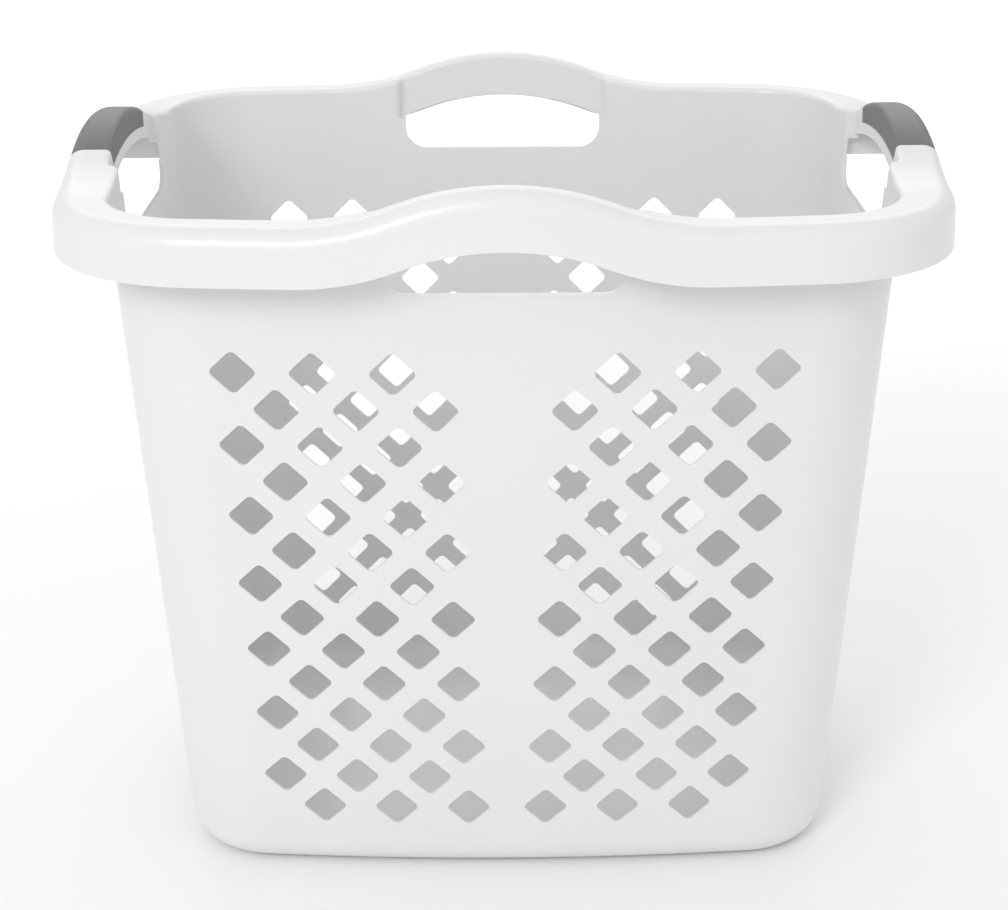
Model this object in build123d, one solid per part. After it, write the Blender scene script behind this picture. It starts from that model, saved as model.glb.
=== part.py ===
from build123d import *
import math
import os

# An open laundry basket moulded in one piece, with a rolled rim that rises over a finger slot on each
# of its four sides, and two soft grips that clip over the rim on the short sides.
# Frame: origin on the underside at the middle of the base, +X along the long side, +Z up. Millimetres.

# Overall sizes, measured over the outside faces at the middle of each side
RIM_HEIGHT = 546.5        # floor to the level part of the rim
RIM_LENGTH = 656.0        # over the rim skirt, along X
RIM_WIDTH = 513.6         # over the rim skirt, along Y
SIDE_OVERHANG = 41.0      # skirt beyond the wall on the short sides
LONG_OVERHANG = 33.0      # skirt beyond the wall on the long sides
SIDE_TAPER = 26.0         # how far each short wall leans in from rim to base
LONG_TAPER = 43.4         # how far each long wall leans in from rim to base

# Shape of the outline in plan
LONG_BOW_RADIUS = 2250.0  # long walls curve gently outwards
SIDE_BOW_RADIUS = 4000.0  # short walls are flatter
WALL_CORNER = 72.0
SKIRT_CORNER = 122.0

# Section of the moulding
WALL = 2.5
FLOOR = 3.0
BASE_ROUND = 24.0         # outer radius between floor and wall
RIM_DEPTH = 39.0          # crown of the rim down to the edge of the skirt
CROWN_OUTER = 14.0        # outer radius of the crown
CROWN_INNER = 4.0         # inner radius of the crown
SKIRT_FLARE = 1.5         # the skirt opens outwards by this much towards its lower edge

# Rise of the rim over each handle
RISE = 27.7
RISE_HALF = 150.0
SKIRT_RISE = 26.0
SKIRT_RISE_HALF = 142.0

# Finger slots, all measured down from the level part of the rim
SLOT_HALF = 86.0
SLOT_BELOW_RIM = 53.0     # lower edge of every slot
LONG_SLOT_END = 25.5      # ends of the arch on the long sides
LONG_SLOT_TOP = 7.5       # middle of the arch on the long sides
SIDE_SLOT_END = 12.8      # ends of the arch on the short sides
SIDE_SLOT_TOP = 1.2       # middle of the arch on the short sides
SLOT_CORNER = 18.0
BEAD_WIDTH = 3.0          # raised lip round the lower part of a slot
BEAD_HEIGHT = 1.0
BEAD_END_DROP = 6.0       # the lip stops this far under the ends of the arch

# Shallow recess above each slot
RECESS = 8.0
RECESS_SLOPE = 0.4        # sideways spread of its ends per millimetre of depth
RECESS_ROUND = 5.5
RECESS_PAST_SLOT = 2.0    # its ends lie this far beyond the ends of the slot
RECESS_DROP = 1.0         # its floor lies this far under the ends of the arch

# Ribs inside the rim at both ends of each handle
RIB_PAST_SLOT = 13.0
RIB_BELOW_RIM = 32.5

# Diamond holes
HOLE_ROWS = 14
HOLE_COLUMNS = 3          # in each block
HOLE_TOP_BELOW_RIM = 114.0
HOLE_LOW_ABOVE_BASE = 60.4
HOLE_HALF_WIDTH = 16.25
HOLE_HALF_HEIGHT = 15.8
HOLE_ROUND = 4.5
HOLE_CORNER_GAP = 22.2    # round corner of the wall to the centre of the outermost hole
HOLE_STRIP_HALF = 51.0    # half of the plain strip in the middle of the long walls, to the hole centres
HOLE_LEAN = 0.0559        # sideways shift of the pattern per millimetre of depth

# Grips
GRIP_HALF = 72.5          # half length along the rim
GRIP_SEAT = 2.2           # depth of the seat in the rim
GRIP_SINK = 0.6           # grip surface below the rim surface
GRIP_CLEARANCE = 0.15
GRIP_INNER_MID = 7.0      # lower inner edge above the level rim, at the middle
GRIP_INNER_END = 0.0      # the same at the ends
HOOK_WALL = 2.0           # thickness of the hook under the skirt
HOOK_LIP = 5.0            # how far the hook turns up behind the skirt

SEAT_OVERCUT = 1.0        # the tool that cuts the seat stands this far proud of the rim
LEAST_ROUND = 0.5         # an inner crown tighter than this is left sharp

LEVEL = RIM_HEIGHT
CREST = RIM_HEIGHT + RISE
MARGIN = 60.0             # how far working blocks reach past what they cut
TINY = 0.01               # slack when edges are picked by height
TALL = CREST + MARGIN
WALL_LENGTH_TOP = RIM_LENGTH - 2 * SIDE_OVERHANG
WALL_WIDTH_TOP = RIM_WIDTH - 2 * LONG_OVERHANG
CREST_RADIUS = (RISE_HALF**2 + RISE**2) / (4 * RISE)
CREST_CENTRE = CREST - CREST_RADIUS
HOLE_OUTER_X = WALL_LENGTH_TOP / 2 - WALL_CORNER - HOLE_CORNER_GAP
HOLE_PITCH = (HOLE_OUTER_X - HOLE_STRIP_HALF) / (HOLE_COLUMNS - 0.5)


def leaning_block(half_x, half_y, lean_x, lean_y, corner, grow):
    """Solid from the floor up with four bowed, leaning sides and round corners.

    The half sizes are those at floor level; the leans are sideways millimetres per millimetre of height.
    """
    block = Pos(0, 0, TALL / 2) * Box(2 * RIM_LENGTH, 2 * RIM_LENGTH, TALL)
    for side in range(4):
        if side % 2 == 0:
            half, lean, radius = half_y, lean_y, LONG_BOW_RADIUS + grow
        else:
            half, lean, radius = half_x, lean_x, SIDE_BOW_RADIUS + grow
        angle = math.atan(lean)
        centre = radius / math.cos(angle) - half
        bow = Pos(0, centre, 0) * Rot(math.degrees(angle), 0, 0) * Cylinder(radius, 4 * TALL)
        block = block & (Rot(0, 0, 90 * side) * bow)
    corners = [edge for edge in block.edges() if edge.bounding_box().size.Z > TALL - 1]
    return fillet(corners, corner)


def from_height(solid, low):
    """The part of a solid above a height."""
    return solid & Pos(0, 0, low + TALL) * Box(3 * RIM_LENGTH, 3 * RIM_LENGTH, 2 * TALL)


def wall_form(grow=0.0):
    """Solid inside the outer face of the walls, moved outwards by grow."""
    half_x = WALL_LENGTH_TOP / 2 - SIDE_TAPER + grow
    half_y = WALL_WIDTH_TOP / 2 - LONG_TAPER + grow
    return leaning_block(
        half_x, half_y, SIDE_TAPER / RIM_HEIGHT, LONG_TAPER / RIM_HEIGHT, WALL_CORNER + grow, grow
    )


def skirt_form(inset=0.0):
    """Solid inside the rim skirt, which opens slightly downwards, from just below the skirt upwards."""
    slope = SKIRT_FLARE / RIM_DEPTH
    widest = slope * (LEVEL - RIM_DEPTH) - inset
    block = leaning_block(
        RIM_LENGTH / 2 + widest, RIM_WIDTH / 2 + widest, -slope, -slope, SKIRT_CORNER - inset, -inset
    )
    return from_height(block, LEVEL - RIM_DEPTH - MARGIN)


def wave_section(level, rise, half, reach, plane):
    """Flat section that is full below a level line with one smooth rise in the middle."""
    mid = half / 2
    radius = (half**2 + rise**2) / (4 * rise)
    tilt = math.asin(mid / radius) / 2
    foot_x = half - radius * math.sin(tilt)
    foot_z = level + radius * (1 - math.cos(tilt))
    start = Line((-reach, level), (-half, level))
    left_foot = ThreePointArc((-half, level), (-foot_x, foot_z), (-mid, level + rise / 2))
    top = ThreePointArc((-mid, level + rise / 2), (0, level + rise), (mid, level + rise / 2))
    right_foot = ThreePointArc((mid, level + rise / 2), (foot_x, foot_z), (half, level))
    end = Line((half, level), (reach, level))
    closing = Polyline((reach, level), (reach, -MARGIN), (-reach, -MARGIN), (-reach, level))
    return plane * make_face([start, left_foot, top, right_foot, end, closing])


def wave_block(level, rise, half):
    """Everything below a level surface that rises over the middle of all four sides."""
    reach = RIM_LENGTH
    along_y = extrude(wave_section(level, rise, half, reach, Plane.XZ), reach, both=True)
    along_x = extrude(wave_section(level, rise, half, reach, Plane.YZ), reach, both=True)
    return along_y + along_x


def top_edges(solid, above):
    """Edges of a solid that lie wholly above a height."""
    return [edge for edge in solid.edges() if edge.bounding_box().min.Z > above]


def rim_blank(inset=0.0):
    """Rim before it is hollowed: skirt sides and wavy crown, all moved inwards by inset."""
    crown = wave_block(LEVEL - inset, RISE, RISE_HALF)
    blank = skirt_form(inset) & crown
    blank = fillet(top_edges(blank, LEVEL - inset - TINY), CROWN_OUTER - inset)
    return blank


def side_face(side):
    """Distance from the middle of the basket to the wall at rim level; side 0 is the front."""
    if side % 2 == 0:
        return WALL_WIDTH_TOP / 2
    return WALL_LENGTH_TOP / 2


def slot_end(side):
    """How far the ends of the arch of a slot lie below the level rim."""
    if side % 2 == 0:
        return LONG_SLOT_END
    return SIDE_SLOT_END


def slot_top(side):
    """How far the middle of the arch of a slot lies below the level rim."""
    if side % 2 == 0:
        return LONG_SLOT_TOP
    return SIDE_SLOT_TOP


def recess_form(side, depth, low, widen=0.0):
    """Block that pushes the wall above one finger slot outwards, from a height upwards."""
    half = SLOT_HALF + RECESS_PAST_SLOT + widen
    face = side_face(side) - WALL + RECESS
    spread = RECESS_SLOPE * MARGIN
    shape = Polyline(
        (-half - spread, -face + MARGIN),
        (-half + spread, -face - MARGIN),
        (half - spread, -face - MARGIN),
        (half + spread, -face + MARGIN),
        (-half - spread, -face + MARGIN),
    )
    prism = extrude(Pos(0, 0, low) * make_face(shape), TALL - low)
    return (Rot(0, 0, 90 * side) * prism) & wall_form(depth - WALL)


def cavity_form():
    """Everything inside the basket, with the four recesses above the slots."""
    space = from_height(wall_form(-WALL), FLOOR)
    space = fillet(space.edges().group_by(Axis.Z)[0], BASE_ROUND - WALL)
    for side in range(4):
        space = space + recess_form(side, RECESS, LEVEL - slot_end(side) - RECESS_DROP)
    return space


def slot_section(end, top, grow=0.0):
    """Finger slot seen square on, with its arch from end to top below the level rim at zero."""
    half = SLOT_HALF + grow
    low = -SLOT_BELOW_RIM - grow
    sides = Polyline((-half, -end), (-half, low), (half, low), (half, -end))
    arch = ThreePointArc((half, -end), (0, -top), (-half, -end))
    face = make_face([*sides.edges(), arch])
    corners = face.vertices().group_by(Axis.Y)[0]
    return fillet(corners, SLOT_CORNER + grow)


def soften_recesses(space):
    """Round the upright edges at the ends of the four recesses."""
    edges = []
    for edge in space.edges():
        span = edge.bounding_box()
        upright = span.max.Z > TALL - 1 and span.min.Z < LEVEL
        close = min(abs(edge.center().X), abs(edge.center().Y)) < SLOT_HALF + 2 * RECESS
        if upright and close:
            edges.append(edge)
    return fillet(edges, RECESS_ROUND)


def handle_backs():
    """Block that keeps the wall, and a full thickness behind each recess, when the rim is hollowed."""
    backs = from_height(wall_form(), LEVEL - RIM_DEPTH - 2 * MARGIN)
    for side in range(4):
        low = LEVEL - slot_end(side) - RECESS_DROP - WALL
        backs = backs + recess_form(side, RECESS + WALL, low, 2 * WALL)
    return backs


def handle_ribs():
    """Plates across the hollow of the rim at both ends of each handle."""
    ribs = []
    for side in range(4):
        for way in (-1, 1):
            along = way * (SLOT_HALF + RIB_PAST_SLOT)
            middle = LEVEL - RIB_BELOW_RIM + TALL / 2
            plate = Pos(along, -side_face(side), middle) * Box(WALL, 2 * MARGIN, TALL)
            ribs.append(Rot(0, 0, 90 * side) * plate)
    return ribs


def rim_channel():
    """Hollow under the rolled rim, open downwards, between the skirt and the wall."""
    return rim_blank(WALL) - handle_backs() - handle_ribs()


def slot_cutter(side, grow=0.0):
    """Finger slot as a block through the wall only, clear of the skirt."""
    section = slot_section(slot_end(side), slot_top(side), grow)
    block = extrude(Plane.XZ * Pos(0, LEVEL, 0) * section, MARGIN, both=True)
    block = Rot(0, 0, 90 * side) * Pos(0, -side_face(side), 0) * block
    return block & wall_form(RECESS + WALL / 2)


def slot_bead(side):
    """Thin raised lip round the lower part of a slot, on the outer face."""
    ring = slot_cutter(side, BEAD_WIDTH)
    low = LEVEL - SLOT_BELOW_RIM - MARGIN
    high = LEVEL - LONG_SLOT_END - BEAD_END_DROP
    band = from_height(wall_form(BEAD_HEIGHT), low) - wall_form(-WALL / 2)
    band = band & Pos(0, 0, high - TALL) * Box(2 * RIM_LENGTH, 2 * RIM_LENGTH, 2 * TALL)
    return ring & band


def diamond():
    """Square hole standing on its corner, with rounded corners."""
    swell = HOLE_ROUND * (math.sqrt(2) - 1)
    wide = HOLE_HALF_WIDTH + swell
    high = HOLE_HALF_HEIGHT + swell
    shape = make_face(Polyline((-wide, 0), (0, -high), (wide, 0), (0, high), (-wide, 0)))
    return fillet(shape.vertices(), HOLE_ROUND)


def hole_rows():
    """Distance below the top row for each row of holes."""
    span = RIM_HEIGHT - HOLE_TOP_BELOW_RIM - HOLE_LOW_ABOVE_BASE
    return [span * row / (HOLE_ROWS - 1) for row in range(HOLE_ROWS)]


def long_side_holes():
    """Hole centres on the long walls: two leaning blocks with a plain strip between them."""
    centres = []
    for row, drop in enumerate(hole_rows()):
        z = RIM_HEIGHT - HOLE_TOP_BELOW_RIM - drop
        for column in range(HOLE_COLUMNS):
            x = HOLE_OUTER_X - HOLE_LEAN * drop - HOLE_PITCH * (column + 0.5 * (row % 2))
            centres.append((x, z))
            centres.append((-x, z))
    return centres


def short_side_holes():
    """Hole centres on the short walls: one block of three and two holes in turn."""
    centres = []
    for row, drop in enumerate(hole_rows()):
        z = RIM_HEIGHT - HOLE_TOP_BELOW_RIM - drop
        count = HOLE_COLUMNS - row % 2
        for column in range(count):
            centres.append((HOLE_PITCH * (column - (count - 1) / 2), z))
    return centres


def hole_cutters():
    """All diamond holes as bars through opposite walls."""
    shape = diamond()
    bars = []
    for x, z in long_side_holes():
        bars.append(extrude(Plane.XZ * Pos(x, z, 0) * shape, RIM_WIDTH, both=True))
    for y, z in short_side_holes():
        bars.append(extrude(Plane.YZ * Pos(y, z, 0) * shape, RIM_LENGTH, both=True))
    return bars


def long_top_edges(bar):
    """The two long edges on top of a length of rim, inner one first."""
    edges = [edge for edge in bar.edges() if edge.length > 2 * GRIP_HALF and edge.center().Z > LEVEL]
    return sorted(edges, key=lambda edge: edge.center().X)


def handle_bar(inset):
    """Solid section of the rim over the handle on the +X side, its faces moved inwards by inset."""
    reach = GRIP_HALF + 4 * WALL
    box = Pos(RIM_LENGTH / 2, 0, LEVEL) * Box(3 * MARGIN, 2 * reach, 3 * MARGIN)
    crest = Pos(RIM_LENGTH / 2, 0, CREST_CENTRE) * Rot(0, 90, 0) * Cylinder(CREST_RADIUS - inset, RIM_LENGTH)
    bar = skirt_form(inset) & box & crest
    bar = bar - wall_form(RECESS - WALL + inset)
    bar = fillet([long_top_edges(bar)[-1]], CROWN_OUTER - inset)
    inner_round = CROWN_INNER - inset
    if inner_round > LEAST_ROUND:
        bar = fillet([long_top_edges(bar)[0]], inner_round)
    return bar


def grip_wedge(half):
    """Slice between two planes square to the arched rim, each half away from the middle of the handle."""
    slope = half / math.sqrt(CREST_RADIUS**2 - half**2)
    height = CREST_RADIUS + MARGIN
    shape = Polyline((0, 0), (slope * height, height), (-slope * height, height), (0, 0))
    wedge = extrude(Plane.YZ * make_face(shape), RIM_LENGTH)
    return Pos(0, 0, CREST_CENTRE) * wedge


def below_inner_edge(shift):
    """Everything on the inner side of the handle below the arched lower edge of the grip."""
    drop = GRIP_INNER_MID - GRIP_INNER_END
    radius = (GRIP_HALF**2 + drop**2) / (2 * drop)
    middle = (RIM_LENGTH + WALL_LENGTH_TOP) / 4
    centre = LEVEL + GRIP_INNER_MID - radius
    return Pos(middle - MARGIN, 0, centre) * Rot(0, 90, 0) * Cylinder(radius + shift, 2 * MARGIN)


def below_skirt(shift):
    """Everything under the arched lower edge of the skirt over the handle, raised by shift."""
    radius = (SKIRT_RISE_HALF**2 + SKIRT_RISE**2) / (4 * SKIRT_RISE)
    centre = LEVEL - RIM_DEPTH + SKIRT_RISE - radius
    return Pos(RIM_LENGTH / 2, 0, centre) * Rot(0, 90, 0) * Cylinder(radius + shift, RIM_LENGTH)


def seat_lining():
    """Extra wall inside the rim that carries the seat of the grip."""
    lining = handle_bar(GRIP_SEAT) - handle_bar(GRIP_SEAT + WALL)
    lining = lining & grip_wedge(GRIP_HALF + WALL)
    lining = lining - below_inner_edge(-WALL)
    return lining - wave_block(LEVEL - RIM_DEPTH, SKIRT_RISE, SKIRT_RISE_HALF)


def seat_cutter():
    """Skin of the rim that is taken away for the grip."""
    skin = handle_bar(-SEAT_OVERCUT) - handle_bar(GRIP_SEAT)
    skin = skin & grip_wedge(GRIP_HALF)
    return skin - below_inner_edge(0.0)


def make_grip():
    """Soft grip on the +X handle: a saddle over the rim with a hook under the edge of the skirt."""
    outside = handle_bar(GRIP_SINK)
    seat = handle_bar(GRIP_SEAT - GRIP_CLEARANCE)
    saddle = outside - seat
    skirt_inner = GRIP_SEAT + WALL + GRIP_CLEARANCE
    skirt_wall = seat - handle_bar(skirt_inner)
    hook = outside - handle_bar(skirt_inner + HOOK_WALL)
    hook = hook & below_skirt(HOOK_LIP)
    hook = hook - (skirt_wall - below_skirt(-GRIP_CLEARANCE))
    outer_side = Pos(RIM_LENGTH / 2, 0, LEVEL) * Box(SIDE_OVERHANG, RIM_WIDTH, RIM_HEIGHT)
    grip = saddle + (hook & outer_side)
    grip = grip - below_skirt(-GRIP_CLEARANCE - HOOK_WALL)
    grip = grip - below_inner_edge(GRIP_CLEARANCE)
    return grip & grip_wedge(GRIP_HALF - GRIP_CLEARANCE)


def inner_crown_edges(body):
    """Top edges of the moulding that lie on the basket side of the rim."""
    near = wall_form(RECESS + WALL / 2)
    edges = []
    for edge in top_edges(body, LEVEL - TINY):
        middle = edge @ 0.5
        if near.is_inside(middle):
            edges.append(edge)
    return edges


def make_basket():
    """One moulding: floor, four walls, rolled rim with its handles, holes and slots."""
    wall = wall_form()
    wall = fillet(wall.edges().group_by(Axis.Z)[0], BASE_ROUND)
    wall = wall & wave_block(LEVEL, RISE, RISE_HALF)
    rim = rim_blank() - wave_block(LEVEL - RIM_DEPTH, SKIRT_RISE, SKIRT_RISE_HALF)
    body = rim + wall
    body = body - soften_recesses(cavity_form())
    body = fillet(inner_crown_edges(body), CROWN_INNER)
    body = body - rim_channel()
    for side in range(4):
        body = body - slot_cutter(side)
    for side in range(4):
        body = body + (slot_bead(side) - slot_cutter(side))
    for tool in (seat_lining(), mirror(seat_lining(), about=Plane.YZ)):
        body = body + tool
    for tool in (seat_cutter(), mirror(seat_cutter(), about=Plane.YZ)):
        body = body - tool
    return body - hole_cutters()


def main():
    os.makedirs("parts", exist_ok=True)
    grip = make_grip()
    export_step(grip, "parts/grip_right.step")
    export_step(mirror(grip, about=Plane.YZ), "parts/grip_left.step")
    export_step(make_basket(), "parts/basket.step")


main()
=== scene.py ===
# %% [markdown]
# # An open laundry basket, moulded in one piece
# The real thing is a white polypropylene basket with a rolled rim, arched handles on all four sides, walls
# pierced by diamond holes, and two soft grey grips clipped over the short-side handles.
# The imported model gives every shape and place, so this lesson is about turning exact shapes into
# believable moulded plastic: clean shading, fine surface grain, and quiet studio light.

# %% [markdown]
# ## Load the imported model
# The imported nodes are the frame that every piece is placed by. Their box is kept, because the finished
# model has to stay inside it.

# %% Load the frame
import math

import bpy
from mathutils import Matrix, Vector


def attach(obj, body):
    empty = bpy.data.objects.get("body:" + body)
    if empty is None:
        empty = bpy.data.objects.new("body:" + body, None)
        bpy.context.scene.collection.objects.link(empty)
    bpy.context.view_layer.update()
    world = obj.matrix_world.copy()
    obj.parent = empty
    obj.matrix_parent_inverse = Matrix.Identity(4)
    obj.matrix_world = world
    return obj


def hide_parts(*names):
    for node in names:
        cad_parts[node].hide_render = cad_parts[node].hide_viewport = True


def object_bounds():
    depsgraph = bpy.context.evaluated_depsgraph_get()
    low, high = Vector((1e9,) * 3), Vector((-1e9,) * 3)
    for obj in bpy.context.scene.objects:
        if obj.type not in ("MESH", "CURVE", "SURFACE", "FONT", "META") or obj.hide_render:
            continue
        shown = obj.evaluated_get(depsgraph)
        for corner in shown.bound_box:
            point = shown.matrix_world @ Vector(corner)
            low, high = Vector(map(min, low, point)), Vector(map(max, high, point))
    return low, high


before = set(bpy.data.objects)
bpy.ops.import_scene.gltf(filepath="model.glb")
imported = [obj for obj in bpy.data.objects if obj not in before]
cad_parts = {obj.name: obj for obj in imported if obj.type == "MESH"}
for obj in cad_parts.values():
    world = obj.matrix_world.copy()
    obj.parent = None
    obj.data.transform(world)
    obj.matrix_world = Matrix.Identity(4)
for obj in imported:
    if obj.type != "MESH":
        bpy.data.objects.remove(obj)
cad_low, cad_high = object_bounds()
print("basket size in metres:", [round(v, 3) for v in cad_high - cad_low])

# %% [markdown]
# ## Camera
# A product view from the front, a little over one and a half metres away and well above the rim, so that
# the eye looks down into the basket. The lens is long, which keeps the leaning walls from spreading.

# %% Place the camera
CAMERA_PLACE = Vector((-0.0037, -1.4962, 0.8952))
CAMERA_DOWN = 0.3876     # the three turns are in radians: below level,
CAMERA_TURN = 0.0040     # to the right,
CAMERA_ROLL = 0.0049     # and leaning to the right
LENS_MM = 69.3
SENSOR_MM = 36.0
NEAREST = 0.01
FARTHEST = 100.0


def make_camera():
    bpy.ops.object.select_all(action="DESELECT")
    bpy.ops.object.camera_add(location=CAMERA_PLACE)
    camera = bpy.context.object
    camera.name = "product_camera"
    camera.rotation_mode = "XYZ"
    camera.rotation_euler = (math.pi / 2 - CAMERA_DOWN, CAMERA_ROLL, -CAMERA_TURN)
    camera.data.lens = LENS_MM
    camera.data.sensor_width = SENSOR_MM
    camera.data.clip_start = NEAREST
    camera.data.clip_end = FARTHEST
    bpy.context.scene.camera = camera
    return camera


camera = make_camera()
print("camera is", round((camera.location - (cad_low + cad_high) / 2).length, 3), "m from the basket")

# %% [markdown]
# ## Colours
# Colours are picked as sRGB hex values, the way a colour picker shows them, but shaders work with linear
# light. One function makes the change, so that each hex value is written only once. Its numbers are those
# of the sRGB standard.


# %% Turn hex colours into linear light
def linear(hex_colour):
    values = []
    for start in (0, 2, 4):
        level = int(hex_colour[start:start + 2], 16) / 255
        values.append(level / 12.92 if level <= 0.04045 else ((level + 0.055) / 1.055) ** 2.4)
    return (*values, 1.0)


print("middle grey 808080 is", round(linear("808080")[0], 3), "in linear light")

# %% [markdown]
# ## One helper for nodes
# A material is a small graph. This helper adds one node, sets its inputs and makes its links, so that each
# call in a material reads as one step. Pattern sizes are given in millimetres on the real object, and a
# small function turns them into the scale that a noise needs.


# %% Add a node with its settings and links
def add_node(tree, kind, inputs=None):
    node = tree.nodes.new(kind)
    for name, value in (inputs or {}).items():
        if isinstance(value, bpy.types.NodeSocket):
            tree.links.new(value, node.inputs[name])
        else:
            node.inputs[name].default_value = value
    return node


def new_material(name):
    material = bpy.data.materials.new(name)
    material.use_nodes = True
    tree = material.node_tree
    tree.nodes.clear()
    output = add_node(tree, "ShaderNodeOutputMaterial")
    return material, tree, output


def per_metre(millimetres):
    """Noise scale that gives features of this size when coordinates are in metres."""
    return 1000.0 / millimetres


print("a 10 mm pattern needs a noise scale of", per_metre(10.0))

# %% [markdown]
# ## Moulded polypropylene
# Polypropylene is a waxy, slightly see-through plastic. Moulds for such baskets are often spark-eroded,
# which gives the surface a fine even grain and a satin shine, and large walls ripple slightly where they
# cooled at different speeds. Three noises give the grain, the orange peel and the slow ripple, and each
# has its own bump. A little light under the surface slightly softens the edges of the holes.

# %% White polypropylene
WHITE_PLASTIC = "E4E4E4"
WHITE_PLASTIC_SHADE = "E2E2E2"
SHADE_STOP = 0.3         # the two stops are levels of the ripple noise
WHITE_STOP = 0.7
GRAIN_MM = 1.4           # chosen coarser than real mould grain, which is too fine for this view
GRAIN_DETAIL = 2.0
GRAIN_STRENGTH = 0.02
GRAIN_DEPTH = 0.0001     # depths are in metres
PEEL_MM = 9.0
PEEL_DETAIL = 2.0
PEEL_STRENGTH = 0.02
PEEL_DEPTH = 0.0003
RIPPLE_MM = 120.0
RIPPLE_DETAIL = 3.0
RIPPLE_STRENGTH = 0.2
RIPPLE_DEPTH = 0.001
WHITE_SMOOTHEST = 0.28   # roughness follows the orange peel between these two
WHITE_ROUGHEST = 0.31
WHITE_IOR = 1.49
GLOW_WEIGHT = 0.05       # the share of scattered light that comes from under the surface
GLOW_RADIUS = (1.0, 1.0, 0.95)
GLOW_METRES = 0.002


def moulded_polypropylene():
    material, tree, output = new_material("moulded_polypropylene")
    place = add_node(tree, "ShaderNodeTexCoord").outputs["Object"]
    grain = add_node(
        tree, "ShaderNodeTexNoise", {"Vector": place, "Scale": per_metre(GRAIN_MM), "Detail": GRAIN_DETAIL}
    ).outputs["Fac"]
    peel = add_node(
        tree, "ShaderNodeTexNoise", {"Vector": place, "Scale": per_metre(PEEL_MM), "Detail": PEEL_DETAIL}
    ).outputs["Fac"]
    ripple = add_node(
        tree,
        "ShaderNodeTexNoise",
        {"Vector": place, "Scale": per_metre(RIPPLE_MM), "Detail": RIPPLE_DETAIL},
    ).outputs["Fac"]
    tint = add_node(tree, "ShaderNodeValToRGB", {"Fac": ripple})
    tint.color_ramp.elements[0].position = SHADE_STOP
    tint.color_ramp.elements[0].color = linear(WHITE_PLASTIC_SHADE)
    tint.color_ramp.elements[1].position = WHITE_STOP
    tint.color_ramp.elements[1].color = linear(WHITE_PLASTIC)
    shine = add_node(
        tree, "ShaderNodeMapRange", {"Value": peel, "To Min": WHITE_SMOOTHEST, "To Max": WHITE_ROUGHEST}
    )
    wide = add_node(
        tree, "ShaderNodeBump", {"Height": ripple, "Strength": RIPPLE_STRENGTH, "Distance": RIPPLE_DEPTH}
    )
    middle = add_node(
        tree,
        "ShaderNodeBump",
        {
            "Height": peel,
            "Strength": PEEL_STRENGTH,
            "Distance": PEEL_DEPTH,
            "Normal": wide.outputs["Normal"],
        },
    )
    fine = add_node(
        tree,
        "ShaderNodeBump",
        {
            "Height": grain,
            "Strength": GRAIN_STRENGTH,
            "Distance": GRAIN_DEPTH,
            "Normal": middle.outputs["Normal"],
        },
    )
    plastic = add_node(
        tree,
        "ShaderNodeBsdfPrincipled",
        {
            "Base Color": tint.outputs["Color"],
            "Roughness": shine.outputs["Result"],
            "IOR": WHITE_IOR,
            "Subsurface Weight": GLOW_WEIGHT,
            "Subsurface Radius": GLOW_RADIUS,
            "Subsurface Scale": GLOW_METRES,
            "Normal": fine.outputs["Normal"],
        },
    )
    tree.links.new(plastic.outputs["BSDF"], output.inputs["Surface"])
    print(material.name, "has", len(tree.nodes), "nodes")
    return material


white = moulded_polypropylene()

# %% [markdown]
# ## Moulded thermoplastic elastomer
# The grips are a soft rubbery plastic. It gives the eye a low, even sheen. A fine leather-like texture
# stops a wet hand from slipping, and the colour is a little paler in patches, as where hands rub it.

# %% Grey elastomer
GREY_ELASTOMER = "606161"
GREY_ELASTOMER_WORN = "6A6B6B"
GREY_STOP = 0.35         # the two stops are levels of the rubbing noise
WORN_STOP = 0.75
TEXTURE_MM = 1.6         # chosen, not measured
TEXTURE_STRENGTH = 0.2
TEXTURE_DEPTH = 0.0003
RUB_MM = 45.0
RUB_DETAIL = 4.0
GREY_SMOOTHEST = 0.38    # roughness follows the rubbing between these two
GREY_ROUGHEST = 0.5
GREY_IOR = 1.5


def moulded_elastomer():
    material, tree, output = new_material("moulded_elastomer")
    place = add_node(tree, "ShaderNodeTexCoord").outputs["Object"]
    cells = add_node(tree, "ShaderNodeTexVoronoi", {"Vector": place, "Scale": per_metre(TEXTURE_MM)})
    rub = add_node(
        tree, "ShaderNodeTexNoise", {"Vector": place, "Scale": per_metre(RUB_MM), "Detail": RUB_DETAIL}
    ).outputs["Fac"]
    tint = add_node(tree, "ShaderNodeValToRGB", {"Fac": rub})
    tint.color_ramp.elements[0].position = GREY_STOP
    tint.color_ramp.elements[0].color = linear(GREY_ELASTOMER)
    tint.color_ramp.elements[1].position = WORN_STOP
    tint.color_ramp.elements[1].color = linear(GREY_ELASTOMER_WORN)
    shine = add_node(
        tree, "ShaderNodeMapRange", {"Value": rub, "To Min": GREY_SMOOTHEST, "To Max": GREY_ROUGHEST}
    )
    texture = add_node(
        tree,
        "ShaderNodeBump",
        {"Height": cells.outputs["Distance"], "Strength": TEXTURE_STRENGTH, "Distance": TEXTURE_DEPTH},
    )
    rubber = add_node(
        tree,
        "ShaderNodeBsdfPrincipled",
        {
            "Base Color": tint.outputs["Color"],
            "Roughness": shine.outputs["Result"],
            "IOR": GREY_IOR,
            "Normal": texture.outputs["Normal"],
        },
    )
    tree.links.new(rubber.outputs["BSDF"], output.inputs["Surface"])
    print(material.name, "has", len(tree.nodes), "nodes")
    return material


grey = moulded_elastomer()

# %% [markdown]
# ## Keeping the exact surface
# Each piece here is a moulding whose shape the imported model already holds, together with smooth surface
# directions at the corners of its triangles. Merging or reshading the mesh would average directions over
# long thin triangles and leave streaks on the rim, so each node is copied as it is and only given its
# material. The rolled rim then reads as one round sweep and the holes keep crisp edges.


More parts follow.
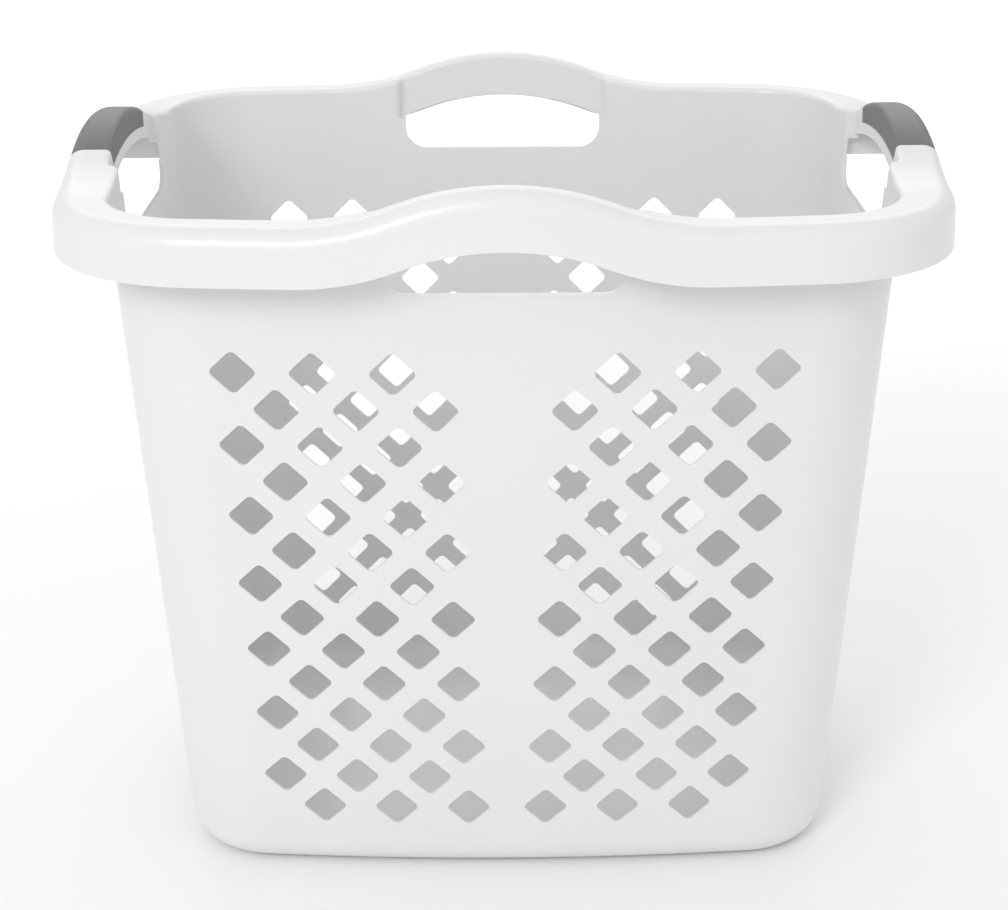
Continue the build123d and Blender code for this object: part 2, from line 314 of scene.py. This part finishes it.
# %% Copy a node and give it its material
def finished_copy(node, name, material):
    bpy.ops.object.select_all(action="DESELECT")
    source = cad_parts[node]
    bpy.context.view_layer.objects.active = source
    source.select_set(True)
    bpy.ops.object.duplicate()
    piece = bpy.context.object
    piece.name = name
    piece.data.materials.clear()
    piece.data.materials.append(material)
    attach(piece, "root")
    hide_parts(node)
    print(name, "has", len(piece.data.polygons), "faces")


print("packed nodes:", sorted(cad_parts))

# %% [markdown]
# ## The basket and its two grips
# The basket is one moulding, so it is one piece in one material. The grips are separate mouldings that
# clip on, so each is its own piece, and both share one grey material.

# %% Basket and grips
finished_copy("basket", "moulded_basket", white)
finished_copy("grip_left", "soft_grip_left", grey)
finished_copy("grip_right", "soft_grip_right", grey)

# %% [markdown]
# ## The studio
# A product shot needs a plain pale floor and broad soft light. The floor is one large plane just under the
# basket, painted almost white, with a broad and very faint cloud in the paint.

# %% Floor
FLOOR_SIZE = 30.0
FLOOR_GAP = 0.0005       # the floor lies this far below the basket
FLOOR_PAINT_SHADE = "F4F4F4"
FLOOR_PAINT = "F8F8F8"
CLOUD_MM = 900.0
CLOUD_DETAIL = 2.0
FLOOR_ROUGHNESS = 0.9


def make_floor():
    bpy.ops.object.select_all(action="DESELECT")
    bpy.ops.mesh.primitive_plane_add(size=FLOOR_SIZE, location=(0, 0, cad_low.z - FLOOR_GAP))
    floor = bpy.context.object
    floor.name = "studio_floor"
    bpy.ops.object.transform_apply(location=True, rotation=True, scale=True)
    material, tree, output = new_material("painted_studio_floor")
    place = add_node(tree, "ShaderNodeTexCoord").outputs["Object"]
    cloud = add_node(
        tree, "ShaderNodeTexNoise", {"Vector": place, "Scale": per_metre(CLOUD_MM), "Detail": CLOUD_DETAIL}
    ).outputs["Fac"]
    tint = add_node(tree, "ShaderNodeValToRGB", {"Fac": cloud})
    tint.color_ramp.elements[0].color = linear(FLOOR_PAINT_SHADE)
    tint.color_ramp.elements[1].color = linear(FLOOR_PAINT)
    paint = add_node(
        tree,
        "ShaderNodeBsdfPrincipled",
        {"Base Color": tint.outputs["Color"], "Roughness": FLOOR_ROUGHNESS},
    )
    tree.links.new(paint.outputs["BSDF"], output.inputs["Surface"])
    floor.data.materials.append(material)
    print(floor.name, "is", FLOOR_SIZE, "m wide")


make_floor()

# %% [markdown]
# ## Soft light
# One square softbox stands high in front and to the left, and lights the basket. A larger one, far behind,
# points straight down at the floor, which keeps the background white.

# %% Soft lights
KEY_PLACE = Vector((-1.2, -2.7, 2.2))
KEY_AIM = Vector((0.0, 0.0, 0.3))        # a little above the basket's middle
KEY_SIZE = 1.0
KEY_WATTS = 30.0
BACKDROP_PLACE = Vector((0.0, 3.8, 2.2))
BACKDROP_AIM = Vector((0.0, 3.8, 0.0))   # straight down
BACKDROP_SIZE = 4.0
BACKDROP_WATTS = 55.0


def soft_light(name, place, aim, size, watts):
    bpy.ops.object.select_all(action="DESELECT")
    bpy.ops.object.light_add(type="AREA", location=place)
    light = bpy.context.object
    light.name = name
    light.data.shape = "SQUARE"
    light.data.size = size
    light.data.energy = watts
    light.rotation_euler = (aim - place).to_track_quat("-Z", "Y").to_euler()
    print(name, "gives", watts, "watts")


soft_light("key_light", KEY_PLACE, KEY_AIM, KEY_SIZE, KEY_WATTS)
soft_light("backdrop_light", BACKDROP_PLACE, BACKDROP_AIM, BACKDROP_SIZE, BACKDROP_WATTS)

# %% [markdown]
# ## White surround
# An even, nearly white surround fills the shadows, as a white studio does. The plain view transform shows
# full white as full white.

# %% Surround and view
SURROUND_COLOUR = (1.0, 1.0, 1.0, 1.0)
SURROUND_STRENGTH = 0.84


def make_world():
    world = bpy.data.worlds.new("white_surround")
    bpy.context.scene.world = world
    world.use_nodes = True
    background = world.node_tree.nodes["Background"]
    background.inputs["Color"].default_value = SURROUND_COLOUR
    background.inputs["Strength"].default_value = SURROUND_STRENGTH
    print(world.name, "has strength", SURROUND_STRENGTH)


make_world()
bpy.context.scene.view_settings.view_transform = "Standard"
